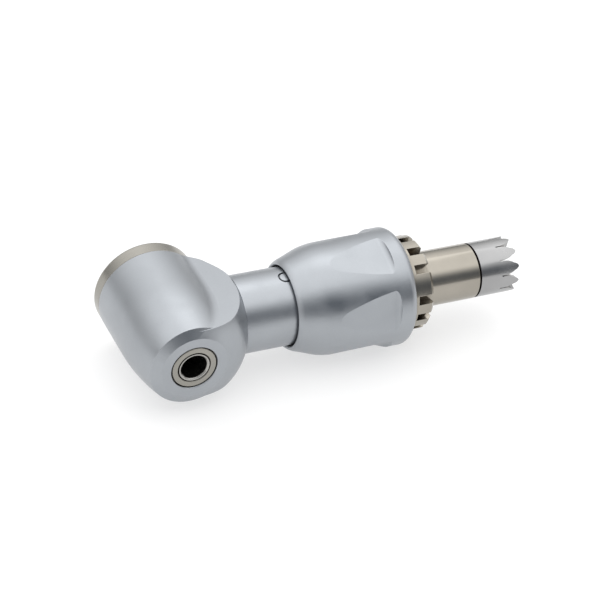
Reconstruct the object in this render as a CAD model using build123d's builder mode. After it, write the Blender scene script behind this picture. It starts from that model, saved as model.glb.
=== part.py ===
"""Contra angle handpiece head: a push-button bur chuck driven through a bevel pair.

Frame, in millimetres: the origin is where the bur axis crosses the drive axis.
+X runs along the neck towards the motor end, +Y along the bur axis towards the push
button, and +Z is up when the head lies on its side.
"""

from build123d import *
import math
import os

os.makedirs("parts", exist_ok=True)

# --- Head, turned about the bur axis ------------------------------------------------
head_radius = 4.70
head_taper_start = 0.5
nose_face_y = -6.0
nose_face_radius = 3.05
nose_bevel_radius = 3.92
nose_bevel = 0.44
housing_top_y = 5.0
cap_top_y = 6.45
barrel_radius = 6.87
side_wall_z = 3.60
side_reach = barrel_radius + 1.0
valley_radius = 1.5
bevel_slope = nose_bevel / (nose_bevel_radius - nose_face_radius)
block_bevel_y = nose_face_y + bevel_slope * (side_wall_z - nose_face_radius)

# --- Neck and drive line, turned about the drive axis --------------------------------
neck_radius = 3.54
neck_end_x = 20.0
neck_shoulder_x = 5.80
neck_bore_radius = 3.0
neck_flange_radius = 4.1
neck_flange_x = 12.70
neck_flange_width = 0.70
spigot_radius = 2.56
spigot_hub_radius = 2.75
spigot_start_x = 14.0
spigot_end_x = 29.40
crown_start_x = 29.54
crown_tip_x = 33.40
crown_tooth_length = 1.70
crown_tooth_count = 11
crown_radius = 2.54

# --- Locking sleeve -------------------------------------------------------------------
sleeve_start_x = 10.66
sleeve_end_x = 21.70
sleeve_lip_radius = 3.68
sleeve_bore_radius = 4.20
sleeve_thread_radius = 4.60
sleeve_thread_x = 18.35
sleeve_collar_radius = 5.40
finger_flat_count = 6
finger_flat_distance = 5.00
finger_flat_phase = 48.5

# --- Index ring -----------------------------------------------------------------------
index_ring_start_x = 20.10
index_ring_end_x = 23.80
index_ring_radius = 4.30
index_slot_start_x = 22.25
index_slot_floor_radius = 3.25
index_slot_width = 0.84
index_slot_count = 14
key_tooth_angle = 147.5
key_tooth_span = 38.5

# --- Bur chuck ------------------------------------------------------------------------
bur_bore_radius = 1.18
spindle_radius = 1.50
spindle_tip_radius = 1.39
spindle_tip_y = -5.93
chuck_head_radius = 2.0
chuck_head_y = 4.50
chuck_head_height = 0.50
jaw_half_width = 0.60
jaw_inner_x = 0.80
jaw_clearance = 0.03

# --- Push button ----------------------------------------------------------------------
button_radius = 3.30
button_flange_radius = 3.60
button_flange_y = 5.30
button_flange_height = 0.50
button_top_y = 6.70
running_clearance = 0.05

# --- Bevel pair -----------------------------------------------------------------------
gear_teeth = 14
pitch_radius = 2.40
face_width_share = 0.22
pressure_angle = math.radians(20)
tooth_backlash = 0.05

# --- Ball bearings: bore radius, outer radius, start, width, ball radius, balls -------
lower_bearing = (1.50, 3.00, -5.00, 1.80, 0.40, 9)
upper_bearing = (1.50, 3.00, 2.90, 1.60, 0.40, 9)
front_bearing = (1.50, 3.00, 4.30, 2.00, 0.40, 9)
rear_bearing = (1.00, 2.00, 26.00, 1.40, 0.28, 9)
ball_clearance = 0.02


# --- Seats inside the head ------------------------------------------------------------
nose_bore_radius = 2.12
shield_radius = 2.02
shield_bore_radius = 1.50
shield_shoulder_y = -5.30
lower_seat_end_y = lower_bearing[2] + lower_bearing[3]
gear_chamber_radius = 3.35
cap_radius = 4.69
cap_skirt_radius = 4.05
cap_skirt_y = 2.85
cap_seal_radius = 4.35
cap_seal_y = 4.75
cap_lip_radius = 2.40
cap_lip_y = button_flange_y + button_flange_height
cap_notch_circle = 4.02
cap_notch_radius = 0.30
cap_notch_depth = 0.25
upper_seat_end_y = upper_bearing[2] + upper_bearing[3]
spring_seat_y = 4.75
chuck_top_y = chuck_head_y + chuck_head_height
spindle_collar_radius = 1.75
bore_end_y = 3.40
key_start_y = 3.50
key_length = 0.80
key_flat_x = -0.70
key_seat_radius = 1.34
jaw_floor_y = chuck_head_y + 0.05 + jaw_clearance
jaw_height = 0.38
jaw_outer_x = 1.90

# --- Seats in the button --------------------------------------------------------------
pusher_seat_y = 5.55
pusher_top_y = 6.10
pusher_tip_y = 4.60
pusher_shank_radius = 0.80
pusher_slope = 2 / 3
chuck_recess_radius = 2.30
spring_pocket_inner = 2.50
spring_pocket_outer = 2.95
spring_top_y = 6.15
spring_radius = 2.72
spring_wire_radius = 0.10
spring_turns = 3.5
spring_rise = spring_top_y - spring_seat_y - 2 * spring_wire_radius
button_dish = 0.15
button_dish_radius = 24.0

# --- Seats along the drive line -------------------------------------------------------
pinion_passage_radius = 2.75
pinion_hub_end_x = 4.05
pinion_hub_radius = 2.05
pinion_bore_radius = 1.20
shaft_start_x = 2.20
shaft_collar_radius = 1.75
shaft_radius = 1.25
shaft_end_x = 32.20
shaft_circlip_inner = 1.30
spacer_start_x = 6.65
spacer_inner_radius = 2.62
set_pin_x = 10.53
set_pin_radius = 0.49
set_pin_hole_radius = 0.50
set_pin_sink_radius = 0.64
set_pin_turn = 6.5
set_pin_plane = Plane.XY.rotated((set_pin_turn, 0, 0))
snap_ring_x = 18.50
snap_ring_width = 0.35
snap_ring_inner_radius = 3.30
spigot_bore_radius = 2.20
spigot_lip_radius = 1.75
spigot_circlip_outer = 2.15
seal_start_x = 28.80
seal_radius = 2.30
crown_hollow_radius = 1.85
crown_web_end_x = 31.00
crown_tooth_phase = 60
tip_rounding = 0.42
flat_runout_x = 19.40
flat_front_distance = 5.09


def save(part, name):
    """Labels a finished piece and writes it as its own STEP file."""
    part.label = name
    export_step(part, f"parts/{name}.step")


def turn_on_drive_axis(outline, mode=Mode.ADD):
    """Turns a closed outline of (x, radius) corners about the drive axis."""
    with BuildSketch(Plane.XY) as profile:
        with BuildLine():
            Polyline(*outline, close=True)
        make_face()
    revolve(profile.sketch.faces(), axis=Axis.X, mode=mode)


def turn_on_bur_axis(outline, mode=Mode.ADD):
    """Turns a closed outline of (radius, y) corners about the bur axis."""
    with BuildSketch(Plane.XY) as profile:
        with BuildLine():
            Polyline(*outline, close=True)
        make_face()
    revolve(profile.sketch.faces(), axis=Axis.Y, mode=mode)


def band_on_drive_axis(start, end, inner, outer, mode=Mode.ADD):
    """Turns a plain band about the drive axis; an inner radius of 0 makes a disc."""
    corners = [(start, inner), (end, inner), (end, outer), (start, outer)]
    turn_on_drive_axis(corners, mode)


def band_on_bur_axis(start, end, inner, outer, mode=Mode.ADD):
    """Turns a plain band about the bur axis; an inner radius of 0 makes a disc."""
    corners = [(inner, start), (outer, start), (outer, end), (inner, end)]
    turn_on_bur_axis(corners, mode)


# ======================================================================================
# Head housing: turned head, side walls that run out to the neck, and the neck tube
# ======================================================================================
with BuildPart() as head_housing:
    # Turned body with a gentle taper and a bevelled nose.
    with BuildSketch(Plane.XY):
        with BuildLine():
            Line((0, housing_top_y), (head_radius, housing_top_y))
            Line((head_radius, housing_top_y), (head_radius, head_taper_start))
            ThreePointArc(
                (head_radius, head_taper_start),
                (head_radius - 0.16, head_taper_start - 3.0),
                (nose_bevel_radius, nose_face_y + nose_bevel),
            )
            Line(
                (nose_bevel_radius, nose_face_y + nose_bevel),
                (nose_face_radius, nose_face_y),
            )
            Line((nose_face_radius, nose_face_y), (0, nose_face_y))
            Line((0, nose_face_y), (0, housing_top_y))
        make_face()
    revolve(axis=Axis.Y)
    # Block with flat sides between the turned body and the neck, bevelled like the nose.
    with BuildSketch(Plane.YZ):
        Polygon(
            (nose_face_y, -nose_face_radius),
            (block_bevel_y, -side_wall_z),
            (housing_top_y, -side_wall_z),
            (housing_top_y, side_wall_z),
            (block_bevel_y, side_wall_z),
            (nose_face_y, nose_face_radius),
            align=None,
        )
    extrude(amount=side_reach)
    valley_edges = [
        edge
        for edge in head_housing.edges()
        if 1.5 < edge.center().X < 4.0
        and abs(abs(edge.center().Z) - side_wall_z) < 0.01
        and abs(edge.center().Y) < 5.9
        and edge.bounding_box().size.Y > 1.0
    ]
    fillet(valley_edges, radius=valley_radius)
    # Barrel-shaped envelope, turned about the bur axis, that rounds the block off.
    with BuildSketch(Plane.XY):
        with BuildLine():
            Line((0, nose_face_y), (nose_face_radius, nose_face_y))
            Spline(
                (nose_face_radius, nose_face_y),
                (4.75, -5.18),
                (5.80, -3.92),
                (6.60, -1.90),
                (barrel_radius, 0.30),
                (6.50, 2.25),
                (5.75, 3.80),
                (head_radius + 0.02, housing_top_y),
                tangents=[(2, 1), (-0.7, 0.7)],
            )
            Line((head_radius + 0.02, housing_top_y), (0, housing_top_y))
            Line((0, housing_top_y), (0, nose_face_y))
        make_face()
    revolve(axis=Axis.Y, mode=Mode.INTERSECT)
    # Neck tube with the flange that the locking sleeve pulls against.
    band_on_drive_axis(neck_shoulder_x - 0.3, neck_end_x, 0, neck_radius)
    band_on_drive_axis(neck_shoulder_x, side_reach, neck_radius, side_reach, Mode.SUBTRACT)
    band_on_drive_axis(
        neck_flange_x,
        neck_flange_x + neck_flange_width,
        neck_radius - 0.5,
        neck_flange_radius,
    )
    # Fine relief groove in the corner where the neck leaves the head.
    band_on_drive_axis(
        neck_shoulder_x,
        neck_shoulder_x + 0.10,
        neck_radius - 0.10,
        neck_radius + 0.1,
        Mode.SUBTRACT,
    )
    # Bore for the nose shield, seat for the lower bearing, gear chamber, cap seat.
    band_on_bur_axis(nose_face_y - 0.1, shield_shoulder_y, 0, nose_bore_radius, Mode.SUBTRACT)
    band_on_bur_axis(shield_shoulder_y, lower_seat_end_y, 0, lower_bearing[1], Mode.SUBTRACT)
    band_on_bur_axis(lower_seat_end_y, cap_skirt_y, 0, gear_chamber_radius, Mode.SUBTRACT)
    band_on_bur_axis(cap_skirt_y, housing_top_y + 0.1, 0, cap_skirt_radius, Mode.SUBTRACT)
    band_on_bur_axis(cap_seal_y, housing_top_y + 0.1, 0, cap_seal_radius, Mode.SUBTRACT)
    # Bore along the neck for the pinion, the front bearing and the spigot tube.
    band_on_drive_axis(0, front_bearing[2], 0, pinion_passage_radius, Mode.SUBTRACT)
    band_on_drive_axis(front_bearing[2], neck_end_x + 0.1, 0, neck_bore_radius, Mode.SUBTRACT)
    # Groove for the snap ring and a cross hole for the set pin.
    band_on_drive_axis(
        snap_ring_x - 0.02,
        snap_ring_x + snap_ring_width + 0.02,
        snap_ring_inner_radius,
        neck_radius + 0.1,
        Mode.SUBTRACT,
    )
    with BuildSketch(set_pin_plane.offset(2.0)):
        with Locations((set_pin_x, 0)):
            Circle(set_pin_hole_radius)
    extrude(amount=2.0, mode=Mode.SUBTRACT)
    with BuildSketch(set_pin_plane.offset(neck_radius - 0.30)):
        with Locations((set_pin_x, 0)):
            Circle(set_pin_sink_radius)
    extrude(amount=1.0, mode=Mode.SUBTRACT)
    # Fine chamfer that breaks the nose bore's edge.
    nose_edge = (
        head_housing.edges()
        .filter_by(GeomType.CIRCLE)
        .filter_by(lambda edge: abs(edge.radius - nose_bore_radius) < 0.001)
        .sort_by(Axis.Y)[0]
    )
    chamfer(nose_edge, length=0.06)
save(head_housing.part, "head_housing")

# ======================================================================================
# Nose shield: a flanged ring held between the housing's lip and the lower bearing
# ======================================================================================
with BuildPart() as nose_shield:
    band_on_bur_axis(nose_face_y + 0.05, lower_bearing[2], shield_bore_radius, shield_radius)
    band_on_bur_axis(
        shield_shoulder_y, lower_bearing[2], shield_bore_radius, lower_bearing[1] - 0.05
    )
    rim_edges = nose_shield.edges().group_by(Axis.Y)[0]
    chamfer(rim_edges, length=0.05)
save(nose_shield.part, "nose_shield")

# ======================================================================================
# Head cap: screws into the housing, holds the upper bearing and the push button
# ======================================================================================
with BuildPart() as head_cap:
    turn_on_bur_axis(
        [
            (upper_bearing[1], cap_skirt_y + 0.02),
            (cap_skirt_radius, cap_skirt_y + 0.02),
            (cap_skirt_radius, housing_top_y),
            (cap_radius, housing_top_y),
            (cap_radius, cap_top_y),
            (button_radius + running_clearance, cap_top_y),
            (button_radius + running_clearance, cap_lip_y),
            (button_flange_radius + running_clearance, cap_lip_y),
            (button_flange_radius + running_clearance, spring_seat_y),
            (cap_lip_radius, spring_seat_y),
            (cap_lip_radius, upper_seat_end_y),
            (upper_bearing[1], upper_seat_end_y),
        ]
    )
    outer_rim = (
        head_cap.edges()
        .filter_by(GeomType.CIRCLE)
        .filter_by(lambda edge: abs(edge.radius - cap_radius) < 0.001)
        .sort_by(Axis.Y)
    )
    fillet(outer_rim[-1], radius=0.28)
    chamfer(outer_rim[0], length=0.06)
    inner_rim = (
        head_cap.edges()
        .filter_by(GeomType.CIRCLE)
        .filter_by(lambda edge: abs(edge.radius - button_radius - running_clearance) < 0.001)
        .sort_by(Axis.Y)[-1]
    )
    chamfer(inner_rim, length=0.12)
    # Four shallow notches for the pin spanner that tightens the cap.
    with BuildSketch(Plane.XZ.offset(-cap_top_y)):
        with PolarLocations(cap_notch_circle, 4, start_angle=45):
            Circle(cap_notch_radius)
    extrude(amount=cap_notch_depth, mode=Mode.SUBTRACT)
save(head_cap.part, "head_cap")

with BuildPart() as cap_seal_ring:
    band_on_bur_axis(cap_seal_y + 0.02, housing_top_y, cap_skirt_radius, cap_seal_radius - 0.02)
save(cap_seal_ring.part, "cap_seal_ring")

# ======================================================================================
# Push button with its hardened pusher and return spring
# ======================================================================================
with BuildPart() as push_button:
    with BuildSketch(Plane.XY):
        with BuildLine():
            Line((pusher_shank_radius, pusher_seat_y), (chuck_recess_radius, pusher_seat_y))
            Line((chuck_recess_radius, pusher_seat_y), (chuck_recess_radius, button_flange_y))
            Line((chuck_recess_radius, button_flange_y), (spring_pocket_inner, button_flange_y))
            Line((spring_pocket_inner, button_flange_y), (spring_pocket_inner, spring_top_y))
            Line((spring_pocket_inner, spring_top_y), (spring_pocket_outer, spring_top_y))
            Line((spring_pocket_outer, spring_top_y), (spring_pocket_outer, button_flange_y))
            Line((spring_pocket_outer, button_flange_y), (button_flange_radius, button_flange_y))
            Line(
                (button_flange_radius, button_flange_y),
                (button_flange_radius, button_flange_y + button_flange_height),
            )
            Line(
                (button_flange_radius, button_flange_y + button_flange_height),
                (button_radius, button_flange_y + button_flange_height),
            )
            Line(
                (button_radius, button_flange_y + button_flange_height),
                (button_radius, button_top_y - 0.25),
            )
            ThreePointArc(
                (button_radius, button_top_y - 0.25),
                (button_radius - 0.08, button_top_y - 0.08),
                (button_radius - 0.27, button_top_y),
            )
            Line((button_radius - 0.27, button_top_y), (0, button_top_y))
            Line((0, button_top_y), (0, pusher_top_y))
            Line((0, pusher_top_y), (pusher_shank_radius, pusher_top_y))
            Line((pusher_shank_radius, pusher_top_y), (pusher_shank_radius, pusher_seat_y))
        make_face()
    revolve(axis=Axis.Y)
    # Shallow dished top for the fingertip.
    with Locations((0, button_top_y - button_dish + button_dish_radius, 0)):
        Sphere(button_dish_radius, rotation=(90, 0, 0), mode=Mode.SUBTRACT)
save(push_button.part, "push_button")

with BuildPart() as button_pusher:
    turn_on_bur_axis(
        [
            (0, pusher_tip_y),
            (jaw_inner_x - 0.02 - pusher_slope * (chuck_top_y - 0.05 - pusher_tip_y), pusher_tip_y),
            (jaw_inner_x - 0.02 + pusher_slope * (pusher_seat_y - chuck_top_y + 0.05), pusher_seat_y),
            (pusher_shank_radius, pusher_seat_y),
            (pusher_shank_radius, pusher_top_y),
            (0, pusher_top_y),
        ]
    )
save(button_pusher.part, "button_pusher")

# Compression spring: stacked coils of one helix between the cap's seat and the button.
with BuildPart() as button_spring:
    with BuildLine() as coil:
        Helix(
            pitch=spring_rise / spring_turns,
            height=spring_rise,
            radius=spring_radius,
            center=(0, spring_seat_y + spring_wire_radius, 0),
            direction=(0, 1, 0),
        )
    with BuildSketch(Plane(origin=coil.line @ 0, z_dir=coil.line % 0)):
        Circle(spring_wire_radius * 0.95)
    sweep(path=coil.line)
save(button_spring.part, "button_spring")

# ======================================================================================
# Bur chuck: spindle, drive key, two latch jaws and the ring spring around them
# ======================================================================================
with BuildPart() as chuck_spindle:
    turn_on_bur_axis(
        [
            (bur_bore_radius, spindle_tip_y),
            (spindle_tip_radius, spindle_tip_y),
            (spindle_tip_radius, lower_bearing[2]),
            (spindle_radius, lower_bearing[2]),
            (spindle_radius, lower_seat_end_y),
            (spindle_collar_radius, lower_seat_end_y),
            (spindle_collar_radius, lower_seat_end_y + 0.3),
            (spindle_radius, lower_seat_end_y + 0.3),
            (spindle_radius, chuck_head_y),
            (chuck_head_radius, chuck_head_y),
            (chuck_head_radius, chuck_top_y),
            (bur_bore_radius, chuck_top_y),
        ]
    )
    # Counterbore from the top that the drive key is pressed into.
    band_on_bur_axis(bore_end_y, chuck_top_y + 0.1, 0, key_seat_radius, Mode.SUBTRACT)
    # Cross slot for the latch jaws.
    with BuildSketch(Plane.XZ.offset(-chuck_top_y - 0.1)):
        Rectangle(2 * chuck_head_radius + 0.2, 2 * (jaw_half_width + jaw_clearance))
    extrude(amount=chuck_head_height - 0.05 + 0.1, mode=Mode.SUBTRACT)
    mouth_edge = (
        chuck_spindle.edges()
        .filter_by(GeomType.CIRCLE)
        .filter_by(lambda edge: abs(edge.radius - bur_bore_radius) < 0.001)
        .sort_by(Axis.Y)[0]
    )
    chamfer(mouth_edge, length=0.10)
save(chuck_spindle.part, "chuck_spindle")

with BuildPart() as bur_drive_key:
    with BuildSketch(Plane.XZ.offset(-key_start_y)):
        Circle(key_seat_radius)
        with Locations((key_flat_x + key_seat_radius, 0)):
            Rectangle(2 * key_seat_radius, 2 * key_seat_radius + 1, mode=Mode.SUBTRACT)
    extrude(amount=-key_length)
save(bur_drive_key.part, "bur_drive_key")

for side, jaw_name in ((-1, "latch_jaw_left"), (1, "latch_jaw_right")):
    with BuildPart() as latch_jaw:
        with BuildSketch(Plane.XZ.offset(-jaw_floor_y)):
            with Locations((side * (jaw_inner_x + jaw_outer_x) / 2, 0)):
                Rectangle(jaw_outer_x - jaw_inner_x, 2 * jaw_half_width)
        extrude(amount=-jaw_height)
        inner_top = (
            latch_jaw.edges()
            .filter_by(Axis.Z)
            .sort_by(lambda edge: abs(edge.center().X) - 0.1 * edge.center().Y)[0]
        )
        chamfer(inner_top, length=0.1)
    save(latch_jaw.part, jaw_name)

with BuildPart() as jaw_spring_ring:
    with BuildSketch(Plane.XZ.offset(-jaw_floor_y - 0.05)):
        Circle(chuck_head_radius + 0.22)
        Circle(chuck_head_radius + 0.02, mode=Mode.SUBTRACT)
        with Locations((0, chuck_head_radius + 0.1)):
            Rectangle(0.9, 0.8, mode=Mode.SUBTRACT)
    extrude(amount=-(jaw_height - 0.1))
save(jaw_spring_ring.part, "jaw_spring_ring")


# ======================================================================================
# Bevel pair, both cut from cones that meet at the origin
# ======================================================================================
gear_module = 2 * pitch_radius / gear_teeth
addendum = 0.80 * gear_module
dedendum = 1.05 * gear_module
cone_distance = pitch_radius * math.sqrt(2)
inner_share = 1 - face_width_share


def involute(angle):
    """The involute function of a pressure angle."""
    return math.tan(angle) - angle


def gap_half_width(height, scale):
    """Half width of the gap between two teeth, at a height above the pitch cone."""
    virtual_radius = cone_distance
    base_radius = virtual_radius * math.cos(pressure_angle)
    radius = virtual_radius + height
    at_radius = math.acos(min(1.0, base_radius / radius))
    quarter_pitch = math.pi * gear_module / 4 / virtual_radius
    half_tooth = quarter_pitch - tooth_backlash / virtual_radius
    half_tooth += involute(pressure_angle) - involute(at_radius)
    return scale * radius * math.sin(2 * quarter_pitch - half_tooth)


def gap_cutter(axis_plane):
    """A pyramid from the shared apex that removes one tooth gap."""
    scale = 1.2
    heights = [-dedendum, -dedendum / 2, 0, addendum / 2, addendum, 1.6 * addendum]
    right = [(gap_half_width(height, scale), scale * height) for height in heights]
    left = [(-across, height) for across, height in reversed(right)]
    with BuildPart() as cutter:
        with BuildSketch(axis_plane.offset(scale * cone_distance)) as wide_end:
            with BuildLine():
                Polyline(*right, *left, close=True)
            make_face()
        loft([wide_end.sketch.faces()[0], Vertex(0, 0, 0)])
    return cutter.part


def gear_outline(hub_end, hub_radius, bore_radius):
    """Corners of a bevel blank as (distance along its axis, radius)."""
    tip = addendum / math.sqrt(2)
    root = pitch_radius - hub_radius
    inner_pitch = inner_share * pitch_radius
    return [
        (inner_pitch - inner_share * tip, inner_pitch + inner_share * tip),
        (pitch_radius - tip, pitch_radius + tip),
        (pitch_radius + root, pitch_radius - root),
        (hub_end, hub_radius),
        (hub_end, bore_radius),
        (inner_pitch + inner_share * root + 0.03, bore_radius),
        (inner_pitch + inner_share * root + 0.03, inner_pitch - inner_share * root),
    ]


diagonal = math.sqrt(0.5)
pinion_plane = Plane((0, 0, 0), x_dir=(0, 0, -1), z_dir=(diagonal, diagonal, 0))
spindle_gear_plane = Plane((0, 0, 0), x_dir=(0, 0, 1), z_dir=(diagonal, diagonal, 0))
pinion_gap = gap_cutter(pinion_plane)
spindle_gap = gap_cutter(spindle_gear_plane)
tooth_pitch = 360 / gear_teeth

with BuildPart() as drive_pinion:
    turn_on_drive_axis(gear_outline(pinion_hub_end_x, pinion_hub_radius, pinion_bore_radius))
    for tooth in range(gear_teeth):
        turned_gap = pinion_gap.rotate(Axis.X, (tooth + 0.5) * tooth_pitch)
        add(turned_gap, mode=Mode.SUBTRACT)
save(drive_pinion.part, "drive_pinion")

with BuildPart() as spindle_gear:
    blank = gear_outline(upper_bearing[2], pinion_hub_radius, spindle_radius)
    turn_on_bur_axis([(radius, along) for along, radius in blank])
    for tooth in range(gear_teeth):
        turned_gap = spindle_gap.rotate(Axis.Y, tooth * tooth_pitch)
        add(turned_gap, mode=Mode.SUBTRACT)
save(spindle_gear.part, "spindle_gear")


# ======================================================================================
# Ball bearings: two on the spindle, two on the drive shaft
# ======================================================================================
def ball_bearing(name, size, along_drive):
    """Writes a bearing's outer ring, inner ring, cage and balls as four pieces."""
    bore, outer, start, width, ball_radius, ball_count = size
    pitch = (bore + outer) / 2
    shoulder = 0.25 if ball_radius > 0.3 else 0.17
    middle = start + width / 2
    band = band_on_drive_axis if along_drive else band_on_bur_axis
    axis = Axis.X if along_drive else Axis.Y
    turns = [2 * math.pi * (ball + 0.3) / ball_count for ball in range(ball_count)]
    ball_planes = []
    for turn in turns:
        across, up = math.cos(turn), math.sin(turn)
        outward = (0, across, up) if along_drive else (across, 0, up)
        centre = Vector(outward) * pitch + Vector(axis.direction) * middle
        ball_planes.append(Plane(origin=centre, z_dir=outward))
    race_centre = (middle, pitch) if along_drive else (pitch, middle)
    for ring_name, low, high in (
        ("outer_ring", pitch + shoulder, outer),
        ("inner_ring", bore, pitch - shoulder),
    ):
        with BuildPart() as ring:
            band(start, start + width, low, high)
            with BuildSketch(Plane.XY) as race:
                with Locations(race_centre):
                    Circle(ball_radius + ball_clearance)
            revolve(race.sketch.faces(), axis=axis, mode=Mode.SUBTRACT)
        save(ring.part, f"{name}_{ring_name}")
    with BuildPart() as cage:
        cage_half = ball_radius + 0.12
        band(middle - cage_half, middle + cage_half, pitch - shoulder / 2, pitch + shoulder / 2)
        with Locations(*ball_planes):
            Cylinder(ball_radius + ball_clearance, 4 * shoulder, mode=Mode.SUBTRACT)
    save(cage.part, f"{name}_cage")
    with BuildPart() as balls:
        with Locations(*ball_planes):
            Sphere(ball_radius)
    save(balls.part, f"{name}_balls")


ball_bearing("lower_bearing", lower_bearing, along_drive=False)
ball_bearing("upper_bearing", upper_bearing, along_drive=False)
ball_bearing("front_bearing", front_bearing, along_drive=True)
ball_bearing("rear_bearing", rear_bearing, along_drive=True)

# ======================================================================================
# Drive shaft with its collar, circlip, crown clutch and nut
# ======================================================================================
front_bearing_end_x = front_bearing[2] + front_bearing[3]
rear_bearing_end_x = rear_bearing[2] + rear_bearing[3]

with BuildPart() as drive_shaft:
    turn_on_drive_axis(
        [
            (shaft_start_x, 0),
            (shaft_start_x, pinion_bore_radius),
            (pinion_hub_end_x, pinion_bore_radius),
            (pinion_hub_end_x, shaft_collar_radius),
            (front_bearing[2], shaft_collar_radius),
            (front_bearing[2], front_bearing[0]),
            (front_bearing_end_x + 0.35, front_bearing[0]),
            (front_bearing_end_x + 0.35, shaft_radius),
            (rear_bearing[2], shaft_radius),
            (rear_bearing[2], rear_bearing[0]),
            (shaft_end_x, rear_bearing[0]),
            (shaft_end_x, 0),
        ]
    )
    band_on_drive_axis(
        front_bearing_end_x + 0.02,
        front_bearing_end_x + 0.22,
        shaft_circlip_inner,
        front_bearing[0] + 0.1,
        Mode.SUBTRACT,
    )
    shaft_tip = drive_shaft.edges().filter_by(GeomType.CIRCLE).sort_by(Axis.X)[-1]
    chamfer(shaft_tip, length=0.15)
save(drive_shaft.part, "drive_shaft")


def circlip(x_start, width, inner, outer, gap, name):
    """A split ring about the drive axis, open towards -Z."""
    with BuildPart() as ring:
        with BuildSketch(Plane.YZ.offset(x_start)):
            Circle(outer)
            Circle(inner, mode=Mode.SUBTRACT)
            with Locations((0, -(inner + outer) / 2)):
                Rectangle(gap, 2 * (outer - inner) + 0.4, mode=Mode.SUBTRACT)
        extrude(amount=width)
    save(ring.part, name)


circlip(front_bearing_end_x + 0.03, 0.18, shaft_circlip_inner, 1.80, 0.8, "shaft_circlip")
circlip(rear_bearing_end_x + 0.03, 0.20, 1.60, spigot_circlip_outer, 0.8, "spigot_circlip")
circlip(snap_ring_x, snap_ring_width, snap_ring_inner_radius, 4.42, 1.6, "sleeve_snap_ring")

with BuildPart() as crown_clutch:
    turn_on_drive_axis(
        [
            (crown_start_x, rear_bearing[0]),
            (crown_start_x, crown_radius),
            (crown_tip_x, crown_radius),
            (crown_tip_x, crown_hollow_radius),
            (crown_web_end_x, crown_hollow_radius),
            (crown_web_end_x, rear_bearing[0]),
        ]
    )
    # Pointed gaps between the dog teeth.
    gap_root_x = crown_tip_x - crown_tooth_length
    half_pitch = math.pi * crown_radius / crown_tooth_count
    for tooth in range(crown_tooth_count):
        turn = crown_tooth_phase + (tooth + 0.5) * 360 / crown_tooth_count
        gap_plane = Plane.XY.rotated((turn, 0, 0))
        with BuildSketch(gap_plane) as gap:
            with BuildLine():
                ThreePointArc(
                    (gap_root_x, 0.06),
                    (gap_root_x + 0.50 * crown_tooth_length, 0.20 * half_pitch),
                    (crown_tip_x - tip_rounding, 0.52 * half_pitch),
                )
                ThreePointArc(
                    (crown_tip_x - tip_rounding, 0.52 * half_pitch),
                    (crown_tip_x - 0.3 * tip_rounding, 0.72 * half_pitch),
                    (crown_tip_x + 0.02, 1.02 * half_pitch),
                )
                Line(
                    (crown_tip_x + 0.02, 1.02 * half_pitch),
                    (crown_tip_x + 0.02, -1.02 * half_pitch),
                )
                ThreePointArc(
                    (crown_tip_x + 0.02, -1.02 * half_pitch),
                    (crown_tip_x - 0.3 * tip_rounding, -0.72 * half_pitch),
                    (crown_tip_x - tip_rounding, -0.52 * half_pitch),
                )
                ThreePointArc(
                    (crown_tip_x - tip_rounding, -0.52 * half_pitch),
                    (gap_root_x + 0.50 * crown_tooth_length, -0.20 * half_pitch),
                    (gap_root_x, -0.06),
                )
                ThreePointArc((gap_root_x, -0.06), (gap_root_x - 0.06, 0), (gap_root_x, 0.06))
            make_face()
        extrude(gap.sketch.faces()[0], amount=crown_radius + 0.5, mode=Mode.SUBTRACT)
save(crown_clutch.part, "crown_clutch")

with BuildPart() as crown_nut:
    with BuildSketch(Plane.YZ.offset(crown_web_end_x)):
        RegularPolygon(radius=1.60, side_count=6)
        Circle(rear_bearing[0], mode=Mode.SUBTRACT)
    extrude(amount=0.9)
    chamfer(crown_nut.edges().group_by(Axis.X)[-1].filter_by(GeomType.LINE), length=0.12)
save(crown_nut.part, "crown_nut")

# ======================================================================================
# Fixed pieces along the neck: washer, spacer, set pin, spigot tube, seal, index ring
# ======================================================================================
with BuildPart() as preload_washer:
    band_on_drive_axis(
        front_bearing_end_x, spacer_start_x, front_bearing[1] - 0.45, neck_bore_radius - 0.02
    )
save(preload_washer.part, "preload_washer")

with BuildPart() as spacer_tube:
    band_on_drive_axis(spacer_start_x, spigot_start_x, spacer_inner_radius, neck_bore_radius)
    with BuildSketch(set_pin_plane.offset(2.0)):
        with Locations((set_pin_x, 0)):
            Circle(set_pin_hole_radius)
    extrude(amount=2.0, mode=Mode.SUBTRACT)
save(spacer_tube.part, "spacer_tube")

with BuildPart() as neck_set_pin:
    with BuildSketch(set_pin_plane.offset(spacer_inner_radius + 0.05)):
        with Locations((set_pin_x, 0)):
            Circle(set_pin_radius)
    extrude(amount=1.5)
    # The pin's end is dressed flush with the neck.
    band_on_drive_axis(
        set_pin_x - 1.0, set_pin_x + 1.0, spacer_inner_radius, neck_radius, Mode.INTERSECT
    )
    chamfer(neck_set_pin.edges().sort_by(Axis.Z)[-1], length=0.04)
save(neck_set_pin.part, "neck_set_pin")

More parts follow.
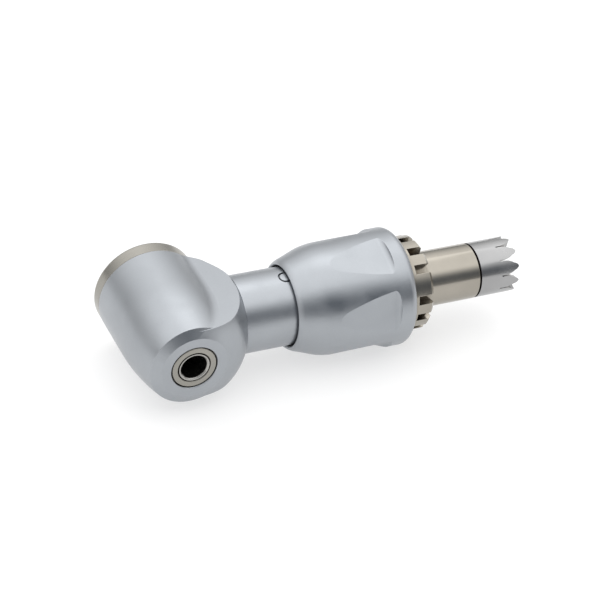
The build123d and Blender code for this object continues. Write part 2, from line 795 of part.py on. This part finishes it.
with BuildPart() as spigot_tube:
    turn_on_drive_axis(
        [
            (spigot_start_x, spigot_bore_radius),
            (spigot_start_x, neck_bore_radius),
            (index_ring_start_x - 0.1, neck_bore_radius),
            (index_ring_start_x - 0.1, spigot_hub_radius),
            (index_ring_end_x + 0.35, spigot_hub_radius),
            (index_ring_end_x + 0.35, spigot_radius),
            (spigot_end_x, spigot_radius),
            (spigot_end_x, seal_radius),
            (seal_start_x, seal_radius),
            (seal_start_x, rear_bearing[1]),
            (rear_bearing[2], rear_bearing[1]),
            (rear_bearing[2], spigot_lip_radius),
            (rear_bearing[2] - 0.3, spigot_lip_radius),
            (rear_bearing[2] - 0.3, spigot_bore_radius),
        ]
    )
    band_on_drive_axis(
        rear_bearing_end_x + 0.02,
        rear_bearing_end_x + 0.24,
        rear_bearing[1] - 0.1,
        spigot_circlip_outer,
        Mode.SUBTRACT,
    )
    end_edge = (
        spigot_tube.edges()
        .filter_by(GeomType.CIRCLE)
        .filter_by(lambda edge: abs(edge.radius - spigot_radius) < 0.001)
        .sort_by(Axis.X)[-1]
    )
    chamfer(end_edge, length=0.08)
save(spigot_tube.part, "spigot_tube")

with BuildPart() as shaft_seal:
    band_on_drive_axis(seal_start_x, crown_start_x - 0.04, rear_bearing[0] + 0.08, seal_radius)
save(shaft_seal.part, "shaft_seal")

regular_pitch = (360 - key_tooth_span) / (index_slot_count - 1)
with BuildPart() as index_ring:
    band_on_drive_axis(index_ring_start_x, index_ring_end_x, spigot_hub_radius, index_ring_radius)
    rear_rim = (
        index_ring.edges()
        .filter_by(GeomType.CIRCLE)
        .filter_by(lambda edge: abs(edge.radius - index_ring_radius) < 0.001)
        .sort_by(Axis.X)[-1]
    )
    chamfer(rear_rim, length=0.28)
    for slot in range(index_slot_count):
        turn = key_tooth_angle + key_tooth_span / 2 + slot * regular_pitch
        with BuildSketch(Plane.YZ.offset(index_ring_end_x + 0.1)) as slot_face:
            with PolarLocations(index_slot_floor_radius + 0.75, 1, start_angle=turn):
                Rectangle(1.5, index_slot_width)
        extrude(
            slot_face.sketch.faces()[0],
            amount=-(index_ring_end_x - index_slot_start_x + 0.1),
            mode=Mode.SUBTRACT,
        )
save(index_ring.part, "index_ring")

# ======================================================================================
# Locking sleeve with six finger flats
# ======================================================================================
with BuildPart() as locking_sleeve:
    with BuildSketch(Plane.XY):
        with BuildLine():
            Line((sleeve_start_x, sleeve_lip_radius), (sleeve_start_x, 3.86))
            Spline(
                (sleeve_start_x, 3.86),
                (11.70, 4.36),
                (13.10, 4.86),
                (15.60, 5.16),
                (20.00, sleeve_collar_radius),
                tangents=[(0.66, 0.75), (1, 0.03)],
            )
            Line((20.00, sleeve_collar_radius), (20.90, sleeve_collar_radius))
            ThreePointArc(
                (20.90, sleeve_collar_radius),
                (21.48, sleeve_collar_radius - 0.18),
                (sleeve_end_x, sleeve_collar_radius - 0.55),
            )
            Polyline(
                (sleeve_end_x, sleeve_collar_radius - 0.55),
                (sleeve_end_x, sleeve_thread_radius),
                (sleeve_thread_x, sleeve_thread_radius),
                (sleeve_thread_x, sleeve_bore_radius),
                (neck_flange_x - 0.1, sleeve_bore_radius),
                (neck_flange_x - 0.1, sleeve_lip_radius),
                (sleeve_start_x, sleeve_lip_radius),
            )
        make_face()
    revolve(axis=Axis.X)
    # Each flat is milled parallel to the drive axis and ends in a round run-out.
    for flat in range(finger_flat_count):
        turn = finger_flat_phase + flat * 360 / finger_flat_count
        with BuildSketch(Plane.XY.rotated((turn, 0, 0))) as flat_face:
            with BuildLine():
                Line((12.5, flat_front_distance), (flat_runout_x, finger_flat_distance))
                ThreePointArc(
                    (flat_runout_x, finger_flat_distance),
                    (flat_runout_x + 0.42, finger_flat_distance + 0.13),
                    (flat_runout_x + 0.62, finger_flat_distance + 0.50),
                )
                Line((flat_runout_x + 0.62, finger_flat_distance + 0.50), (12.5, 5.60))
                Line((12.5, 5.60), (12.5, flat_front_distance))
            make_face()
        extrude(flat_face.sketch.faces()[0], amount=3.0, both=True, mode=Mode.SUBTRACT)
    lip_edges = (
        locking_sleeve.edges()
        .filter_by(GeomType.CIRCLE)
        .group_by(Axis.X)[0]
        .sort_by(SortBy.RADIUS)
    )
    chamfer(lip_edges[0], length=0.10)
save(locking_sleeve.part, "locking_sleeve")
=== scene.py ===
"""Looks for the contra angle handpiece head, in metres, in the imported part's frame.

+X runs along the drive axis to the toothed crown, -Y is the way the bur leaves the head.
Each material is procedural and reads object coordinates, so it turns with its piece.
"""

import math

import bpy
from mathutils import Matrix, Vector


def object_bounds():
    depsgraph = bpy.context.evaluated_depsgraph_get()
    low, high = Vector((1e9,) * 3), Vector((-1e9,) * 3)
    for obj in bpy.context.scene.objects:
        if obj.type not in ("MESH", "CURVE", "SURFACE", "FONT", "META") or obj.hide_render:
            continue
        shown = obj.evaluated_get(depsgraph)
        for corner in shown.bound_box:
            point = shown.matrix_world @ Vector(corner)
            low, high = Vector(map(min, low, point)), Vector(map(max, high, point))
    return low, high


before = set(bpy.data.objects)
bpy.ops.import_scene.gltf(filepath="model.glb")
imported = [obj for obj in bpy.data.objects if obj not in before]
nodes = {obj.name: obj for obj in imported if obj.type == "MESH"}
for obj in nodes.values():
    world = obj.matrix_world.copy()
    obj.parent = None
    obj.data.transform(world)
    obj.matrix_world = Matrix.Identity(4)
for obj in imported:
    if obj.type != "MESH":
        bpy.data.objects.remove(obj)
cad_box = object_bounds()

MM = 0.001
low, high = cad_box
centre = (Vector(low) + Vector(high)) / 2

# Sockets of the colour Mix node, which carries one set of them for each type of data.
MIX_FIRST = 6
MIX_SECOND = 7
MIX_RESULT = 2

# Dot product of the softened and the true normal: on a sharp edge, and on an open face.
EDGE_DOT = 0.80
FACE_DOT = 0.995

# Share of open sky that the ambient occlusion node sees: deep in a slot, and on an open face.
DEEP_OPENNESS = 0.42
FACE_OPENNESS = 0.86

# Painted shade: the dark brown laid into slots and corners of turned parts, and how far the ambient
# occlusion reaches for it.
CORNER_SHADE_COLOUR = (0.060, 0.044, 0.026)
CORNER_SHADE_REACH = 0.9 * MM

FLOOR_REACH = 3.0
FLOOR_GREY = 0.40
FLOOR_GLOW = 0.60

SKY_HORIZON = 0.50
SKY_TOP = 1.68
SKY_TOP_HEIGHT = 0.85
PATCH_ELEVATION = 24
PATCH_WIDTH = 0.90
PATCH_HEIGHT = 0.62
PATCH_CORE = 0.30
PATCH_COLOUR = (0.055, 0.075, 0.105, 1.0)

CAMERA_AZIMUTH = -27.62
CAMERA_ELEVATION = 36.04
CAMERA_ROLL = 6.35
CAMERA_DISTANCE = 0.19797
CAMERA_LENS = 136.5
CAMERA_SENSOR = 36
CAMERA_NEAR = 0.005
CAMERA_AIM = (0.01077, -0.00323, 0.00293)


# ======================================================================================
# Node helpers
# ======================================================================================
def scaled(colour, factor):
    """The colour made darker or brighter, with no channel above 1."""
    return tuple(min(1.0, part * factor) for part in colour)


class Shader:
    """A new material's node tree with short calls for the nodes used here."""

    def __init__(self, name):
        self.material = bpy.data.materials.new(name)
        self.material.use_nodes = True
        self.tree = self.material.node_tree
        self.surface = self.tree.nodes["Principled BSDF"]
        self.place = self.node("ShaderNodeTexCoord").outputs["Object"]

    def node(self, kind, **settings):
        made = self.tree.nodes.new(kind)
        for key, value in settings.items():
            setattr(made, key, value)
        return made

    def link(self, source, target):
        self.tree.links.new(source, target)

    def set(self, socket, value):
        self.surface.inputs[socket].default_value = value

    def drive(self, socket, source):
        self.link(source, self.surface.inputs[socket])

    def noise(self, vector, scale, detail=2.0, roughness=0.5, distortion=0.0):
        made = self.node("ShaderNodeTexNoise")
        made.inputs["Scale"].default_value = scale
        made.inputs["Detail"].default_value = detail
        made.inputs["Roughness"].default_value = roughness
        made.inputs["Distortion"].default_value = distortion
        self.link(vector, made.inputs["Vector"])
        return made.outputs["Fac"]

    def spread(self, source, start, end, low_from=0.3, high_from=0.7):
        """Maps low_from..high_from, by default a noise's middle range, to start..end."""
        made = self.node("ShaderNodeMapRange")
        made.inputs["From Min"].default_value = low_from
        made.inputs["From Max"].default_value = high_from
        made.inputs["To Min"].default_value = start
        made.inputs["To Max"].default_value = end
        self.link(source, made.inputs["Value"])
        return made.outputs["Result"]

    def blend(self, factor, first, second):
        """Mixes two colours or colour sources by a factor source."""
        made = self.node("ShaderNodeMix", data_type="RGBA")
        self.link(factor, made.inputs["Factor"])
        for socket, value in ((MIX_FIRST, first), (MIX_SECOND, second)):
            if isinstance(value, tuple):
                made.inputs[socket].default_value = (*value, 1.0)
            else:
                self.link(value, made.inputs[socket])
        return made.outputs[MIX_RESULT]

    def math(self, operation, *values):
        made = self.node("ShaderNodeMath", operation=operation)
        for socket, value in zip(made.inputs, values):
            if isinstance(value, (int, float)):
                socket.default_value = value
            else:
                self.link(value, socket)
        return made.outputs[0]

    def bump(self, height, distance, strength, normal=None):
        made = self.node("ShaderNodeBump")
        made.inputs["Distance"].default_value = distance
        made.inputs["Strength"].default_value = strength
        self.link(height, made.inputs["Height"])
        if normal is not None:
            self.link(normal, made.inputs["Normal"])
        return made.outputs["Normal"]

    def rounded_normal(self, radius):
        """The normal with each sharp edge softened over a small radius."""
        made = self.node("ShaderNodeBevel", samples=6)
        made.inputs["Radius"].default_value = radius
        return made.outputs["Normal"]

    def edge_mask(self, radius):
        """1 on sharp edges, 0 away from them."""
        soft = self.rounded_normal(radius)
        flat = self.node("ShaderNodeNewGeometry").outputs["Normal"]
        dot = self.node("ShaderNodeVectorMath", operation="DOT_PRODUCT")
        self.link(soft, dot.inputs[0])
        self.link(flat, dot.inputs[1])
        return self.spread(dot.outputs["Value"], 1.0, 0.0, EDGE_DOT, FACE_DOT)

    def crevice_shade_mask(self, distance):
        """Where shade falls: 1 deep in slots and corners, 0 on open faces, used to paint shade."""
        made = self.node("ShaderNodeAmbientOcclusion", samples=12)
        made.inputs["Distance"].default_value = distance
        return self.spread(made.outputs["AO"], 1.0, 0.0, DEEP_OPENNESS, FACE_OPENNESS)

    def ring_place(self, axis):
        """(distance along the axis, distance from it): constant round each turned ring."""
        split = self.node("ShaderNodeSeparateXYZ")
        self.link(self.place, split.inputs[0])
        across = [name for name in "XYZ" if name != axis]
        squares = [self.math("POWER", split.outputs[name], 2.0) for name in across]
        radius = self.math("SQRT", self.math("ADD", *squares))
        join = self.node("ShaderNodeCombineXYZ")
        self.link(split.outputs[axis], join.inputs["X"])
        self.link(radius, join.inputs["Y"])
        return join.outputs[0]


# ======================================================================================
# Materials
# ======================================================================================
def bead_blasted_metal(name, colour, roughness):
    """Satin metal with a fine blasted grain, faint clouding, smoother burnished edges and a painted
    highlight along them.
    """
    shader = Shader(name)
    grain = shader.noise(shader.place, scale=11000, detail=3.0, roughness=0.6)
    pits = shader.noise(shader.place, scale=4200)
    clouds = shader.noise(shader.place, scale=160, detail=3.0)
    handling = shader.noise(shader.place, scale=420, detail=4.0, distortion=0.6)
    edges = shader.edge_mask(0.12 * MM)
    bright = scaled(colour, 1.12)
    dull = scaled(colour, 0.93)
    clouded = shader.blend(shader.spread(clouds, 0.0, 1.0), dull, colour)
    speckled = shader.blend(shader.spread(grain, 0.0, 0.35), clouded, bright)
    # Painted highlight: sharp edges lightened toward the bright tone.
    shader.drive("Base Color", shader.blend(shader.math("MULTIPLY", edges, 0.7), speckled, bright))
    shader.set("Metallic", 1.0)
    rough = shader.spread(handling, roughness - 0.04, roughness + 0.05)
    polish = shader.math("MULTIPLY", edges, 0.12)
    shader.drive("Roughness", shader.math("SUBTRACT", rough, polish))
    soft = shader.rounded_normal(0.05 * MM)
    relief = shader.bump(pits, distance=0.010 * MM, strength=0.30, normal=soft)
    shader.drive("Normal", shader.bump(grain, distance=0.006 * MM, strength=0.45, normal=relief))
    return shader.material


def turned_metal(name, colour, roughness, axis, line_strength=0.35, corner_shade=0.0):
    """Machined metal with fine rings left by the lathe, edges lightened as wear and a painted
    highlight, and painted shade, dark brown, in its corners.
    """
    shader = Shader(name)
    rings = shader.ring_place(axis)
    fine = shader.noise(rings, scale=26000, roughness=0.7)
    coarse = shader.noise(rings, scale=5200, detail=1.0)
    smudge = shader.noise(shader.place, scale=260, detail=3.0)
    edges = shader.edge_mask(0.08 * MM)
    stained = shader.blend(shader.spread(smudge, 0.0, 1.0), scaled(colour, 0.86), colour)
    bright = scaled(colour, 1.15)
    lined = shader.blend(shader.spread(fine, 0.0, 0.5 * line_strength), stained, bright)
    # Painted highlight and wear: sharp edges lightened toward the bright tone.
    edge_highlight_and_wear = shader.blend(shader.math("MULTIPLY", edges, 0.6), lined, bright)
    # Painted shade: slots and corners darkened toward a dark brown where the ambient occlusion finds
    # little open sky.
    corners = shader.math("MULTIPLY", shader.crevice_shade_mask(CORNER_SHADE_REACH), corner_shade)
    shader.drive("Base Color", shader.blend(corners, edge_highlight_and_wear, CORNER_SHADE_COLOUR))
    shader.set("Metallic", 1.0)
    shader.drive("Roughness", shader.spread(smudge, roughness - 0.04, roughness + 0.06))
    soft = shader.rounded_normal(0.04 * MM)
    relief = shader.bump(coarse, distance=0.004 * MM, strength=line_strength, normal=soft)
    lines = shader.bump(fine, distance=0.002 * MM, strength=line_strength, normal=relief)
    shader.drive("Normal", lines)
    return shader.material


def ground_steel(name, colour, roughness):
    """Hardened and ground steel with fine random scratches."""
    shader = Shader(name)
    stretch = shader.node("ShaderNodeMapping")
    stretch.inputs["Scale"].default_value = (1.0, 9.0, 5.0)
    shader.link(shader.place, stretch.inputs["Vector"])
    scratches = shader.noise(stretch.outputs[0], scale=3400, detail=3.0, roughness=0.7)
    film = shader.noise(shader.place, scale=700, detail=3.0)
    dark = scaled(colour, 0.80)
    shader.drive("Base Color", shader.blend(shader.spread(film, 0.0, 1.0), dark, colour))
    shader.set("Metallic", 1.0)
    shader.drive("Roughness", shader.spread(scratches, roughness - 0.05, roughness + 0.08))
    soft = shader.rounded_normal(0.04 * MM)
    shader.drive("Normal", shader.bump(scratches, distance=0.002 * MM, strength=0.35, normal=soft))
    return shader.material


def cage_resin(name, colour):
    """Fabric-filled resin, as used for small machined bearing cages."""
    shader = Shader(name)
    fibres = shader.noise(shader.place, scale=5200, detail=4.0, roughness=0.7)
    dark = scaled(colour, 0.65)
    shader.drive("Base Color", shader.blend(shader.spread(fibres, 0.0, 1.0), dark, colour))
    shader.drive("Roughness", shader.spread(fibres, 0.45, 0.62))
    shader.drive("Normal", shader.bump(fibres, distance=0.006 * MM, strength=0.4))
    return shader.material


def moulded_rubber(name, colour):
    """Black seal rubber with a fine moulded skin."""
    shader = Shader(name)
    skin = shader.noise(shader.place, scale=6500, detail=3.0)
    dust = shader.noise(shader.place, scale=900, detail=4.0)
    pale = tuple(part + 0.02 for part in colour)
    shader.drive("Base Color", shader.blend(shader.spread(dust, 0.0, 1.0), colour, pale))
    shader.drive("Roughness", shader.spread(skin, 0.55, 0.72))
    shader.drive("Normal", shader.bump(skin, distance=0.005 * MM, strength=0.5))
    return shader.material


satin = bead_blasted_metal("satin_steel", (0.365, 0.383, 0.405), roughness=0.36)
# The last number of each turned finish sets how dark its painted corner shade is.
nickel_drive = turned_metal(
    "nickel_round_drive_axis", (0.37, 0.345, 0.30), 0.17, "X", line_strength=0.25, corner_shade=0.85
)
nickel_bur = turned_metal(
    "nickel_round_bur_axis", (0.325, 0.313, 0.283), 0.24, "Y", line_strength=0.35, corner_shade=0.5
)
crown_metal = turned_metal(
    "crown_steel", (0.37, 0.37, 0.37), 0.22, "X", line_strength=0.3, corner_shade=0.6
)
spindle_metal = turned_metal("spindle_steel", (0.40, 0.39, 0.37), 0.26, "Y")
shaft_metal = turned_metal("shaft_steel", (0.62, 0.62, 0.63), 0.24, "X")
gear_metal = ground_steel("gear_steel", (0.56, 0.55, 0.53), roughness=0.30)
hard_metal = ground_steel("hardened_steel", (0.60, 0.60, 0.61), roughness=0.26)
race_metal = ground_steel("race_steel", (0.74, 0.74, 0.75), roughness=0.16)
ball_metal = ground_steel("ball_steel", (0.82, 0.82, 0.83), roughness=0.08)
wire_metal = ground_steel("spring_steel", (0.46, 0.46, 0.48), roughness=0.30)
resin = cage_resin("cage_resin", (0.36, 0.20, 0.09))
rubber = moulded_rubber("seal_rubber", (0.012, 0.012, 0.013))

bearings = ("lower_bearing", "upper_bearing", "front_bearing", "rear_bearing")
finish_of = {
    satin: ["head_housing", "locking_sleeve", "push_button", "neck_set_pin"],
    nickel_drive: ["spigot_tube", "index_ring"],
    nickel_bur: ["head_cap", "nose_shield"],
    crown_metal: ["crown_clutch", "crown_nut"],
    spindle_metal: ["chuck_spindle"],
    shaft_metal: ["drive_shaft", "spacer_tube", "preload_washer"],
    gear_metal: ["drive_pinion", "spindle_gear"],
    hard_metal: ["bur_drive_key", "latch_jaw_left", "latch_jaw_right", "button_pusher"],
    race_metal: [f"{name}_{ring}" for name in bearings for ring in ("outer_ring", "inner_ring")],
    ball_metal: [f"{name}_balls" for name in bearings],
    wire_metal: [
        "button_spring",
        "jaw_spring_ring",
        "shaft_circlip",
        "spigot_circlip",
        "sleeve_snap_ring",
    ],
    resin: [f"{name}_cage" for name in bearings],
    rubber: ["cap_seal_ring", "shaft_seal"],
}
for material, names in finish_of.items():
    for name in names:
        for slot in nodes[name].material_slots:
            slot.material = material


# ======================================================================================
# Floor, light, world and camera
# ======================================================================================
def direction(azimuth, elevation):
    """The unit vector toward a place given in degrees: azimuth 0 is -Y, and 90 is +X."""
    turn = math.radians(azimuth)
    lift = math.radians(elevation)
    return Vector(
        (math.sin(turn) * math.cos(lift), -math.cos(turn) * math.cos(lift), math.sin(lift))
    )


def plain_floor():
    """A pale matt floor that touches the sleeve, the lowest piece, and glows faintly."""
    mesh = bpy.data.meshes.new("floor")
    corners = [(-1, -1), (1, -1), (1, 1), (-1, 1)]
    points = [(FLOOR_REACH * x, FLOOR_REACH * y, low[2]) for x, y in corners]
    mesh.from_pydata(points, [], [(0, 1, 2, 3)])
    floor = bpy.data.objects.new("floor", mesh)
    bpy.context.collection.objects.link(floor)
    shader = Shader("floor_paper")
    shader.set("Base Color", (FLOOR_GREY, FLOOR_GREY, FLOOR_GREY, 1.0))
    shader.set("Roughness", 0.9)
    shader.set("Emission Color", (1.0, 1.0, 1.0, 1.0))
    shader.set("Emission Strength", FLOOR_GLOW)
    mesh.materials.append(shader.material)


def softbox(name, azimuth, elevation, distance, width, height, power):
    """An area light that looks at the object from a direction given in degrees."""
    toward = direction(azimuth, elevation)
    light = bpy.data.lights.new(name, "AREA")
    light.shape = "RECTANGLE"
    light.size = width
    light.size_y = height
    light.energy = power
    lamp = bpy.data.objects.new(name, light)
    bpy.context.collection.objects.link(lamp)
    lamp.location = centre + toward * distance
    lamp.rotation_euler = toward.to_track_quat("Z", "Y").to_euler()


def studio_world():
    """A pale room, brightest overhead, with a dim patch in front of the nose.

    The patch has a twin straight opposite, which is below the floor.
    """
    world = bpy.data.worlds.new("studio")
    bpy.context.scene.world = world
    world.use_nodes = True
    tree = world.node_tree
    place = tree.nodes.new("ShaderNodeTexCoord").outputs["Generated"]

    def along(way):
        dot = tree.nodes.new("ShaderNodeVectorMath")
        dot.operation = "DOT_PRODUCT"
        dot.inputs[1].default_value = way
        tree.links.new(place, dot.inputs[0])
        return dot.outputs["Value"]

    def ease(source, start, end, first, last):
        made = tree.nodes.new("ShaderNodeMapRange")
        made.interpolation_type = "SMOOTHSTEP"
        made.inputs["From Min"].default_value = start
        made.inputs["From Max"].default_value = end
        made.inputs["To Min"].default_value = first
        made.inputs["To Max"].default_value = last
        tree.links.new(source, made.inputs["Value"])
        return made.outputs["Result"]

    lift = math.radians(PATCH_ELEVATION)
    join = tree.nodes.new("ShaderNodeCombineXYZ")
    tree.links.new(along((1 / PATCH_WIDTH, 0, 0)), join.inputs["X"])
    over = Vector((0, math.sin(lift), math.cos(lift))) / PATCH_HEIGHT
    tree.links.new(along(over), join.inputs["Y"])
    size = tree.nodes.new("ShaderNodeVectorMath")
    size.operation = "LENGTH"
    tree.links.new(join.outputs[0], size.inputs[0])
    outside = ease(size.outputs["Value"], PATCH_CORE, 1.0, 0.0, 1.0)

    sky = ease(along((0, 0, 1)), 0.0, SKY_TOP_HEIGHT, SKY_HORIZON, SKY_TOP)
    pale = tree.nodes.new("ShaderNodeCombineColor")
    for socket in ("Red", "Green", "Blue"):
        tree.links.new(sky, pale.inputs[socket])
    mix = tree.nodes.new("ShaderNodeMix")
    mix.data_type = "RGBA"
    tree.links.new(outside, mix.inputs["Factor"])
    mix.inputs[MIX_FIRST].default_value = PATCH_COLOUR
    tree.links.new(pale.outputs[0], mix.inputs[MIX_SECOND])
    tree.links.new(mix.outputs[MIX_RESULT], tree.nodes["Background"].inputs["Color"])


def place_camera():
    """A long lens, a little above and in front of the nose."""
    back = direction(CAMERA_AZIMUTH, CAMERA_ELEVATION)
    turn = math.radians(CAMERA_AZIMUTH)
    level = Vector((math.cos(turn), math.sin(turn), 0))
    right = Matrix.Rotation(math.radians(CAMERA_ROLL), 3, back) @ level
    up = back.cross(right)
    camera = bpy.data.objects.new("camera", bpy.data.cameras.new("camera"))
    bpy.context.collection.objects.link(camera)
    camera.data.lens = CAMERA_LENS
    camera.data.sensor_width = CAMERA_SENSOR
    camera.data.clip_start = CAMERA_NEAR
    place = Vector(CAMERA_AIM) + back * CAMERA_DISTANCE
    camera.matrix_world = Matrix.Translation(place) @ Matrix((right, up, back)).transposed().to_4x4()
    bpy.context.scene.camera = camera


plain_floor()
place_camera()
studio_world()
softbox(
    "top_box", azimuth=160, elevation=62, distance=0.30, width=0.20, height=0.14, power=0.05
)
bpy.context.scene.view_settings.view_transform = "Standard"
